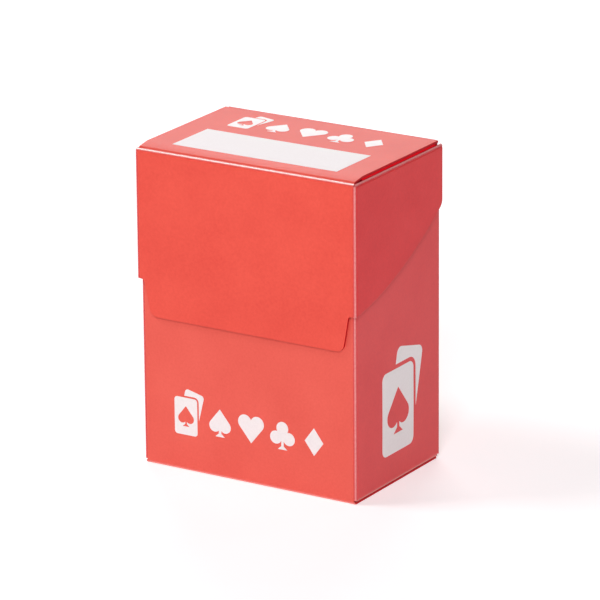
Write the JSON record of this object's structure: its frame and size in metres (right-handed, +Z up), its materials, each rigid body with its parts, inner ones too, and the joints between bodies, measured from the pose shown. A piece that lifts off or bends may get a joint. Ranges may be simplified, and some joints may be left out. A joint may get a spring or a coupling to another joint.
{
  "type": "card deck box",
  "caption": "Upright folding deck box for trading cards with a deep flip lid on a living hinge, a tongued lid front, slanted side edges and a loose deck divider.",
  "frame": {"origin": "centre of the base panel's underside, midway between the body's front and back faces", "axes": "+Z up, the front faces -Y, +X towards the right side panel as seen from the front"},
  "size_m": [0.0736, 0.0483, 0.0966],
  "materials": {
    "coral_sheet": "satin polypropylene sheet with a fine sand texture",
    "coral_crease": "polypropylene thinned and stretched at the score, slightly paler and glossier",
    "white_ink": "flat opaque screen ink",
    "divider_sheet": "satin polypropylene, thinner sheet"
  },
  "bodies": {
    "body": {"front_panel": "coral_sheet", "right_panel": "coral_sheet", "back_panel": "coral_sheet", "left_panel": "coral_sheet", "seam_flap": "coral_sheet", "bottom_panel": "coral_sheet", "bottom_tuck_flap": "coral_sheet", "right_dust_flap": "coral_sheet", "left_dust_flap": "coral_sheet", "front_right_crease": "coral_crease", "front_left_crease": "coral_crease", "back_right_crease": "coral_crease", "seam_crease": "coral_crease", "bottom_front_crease": "coral_crease", "bottom_back_crease": "coral_crease", "right_dust_crease": "coral_crease", "left_dust_crease": "coral_crease", "lid_hinge_crease": "coral_crease", "front_print": "white_ink", "side_print": "white_ink"},
    "lid": {"lid_top_panel": "coral_sheet", "lid_front_panel": "coral_sheet", "lid_right_panel": "coral_sheet", "lid_left_panel": "coral_sheet", "lid_right_tab": "coral_sheet", "lid_left_tab": "coral_sheet", "lid_front_top_crease": "coral_crease", "lid_front_right_crease": "coral_crease", "lid_front_left_crease": "coral_crease", "lid_right_tab_crease": "coral_crease", "lid_left_tab_crease": "coral_crease", "write_on_field": "white_ink", "top_print": "white_ink"},
    "divider": {"deck_divider": "divider_sheet"}
  },
  "joints": [
    {"name": "lid_hinge", "type": "hinge", "parent": "body", "child": "lid", "pos_m": [0, 0.02317, 0.09607], "axis": [-1, 0, 0], "range_deg": [0, 200], "deforming": ["lid_hinge_crease"]},
    {"name": "divider_slide", "type": "slide", "parent": "body", "child": "divider", "axis": [0, -1, 0], "range_m": [0, 0.042]}
  ]
}
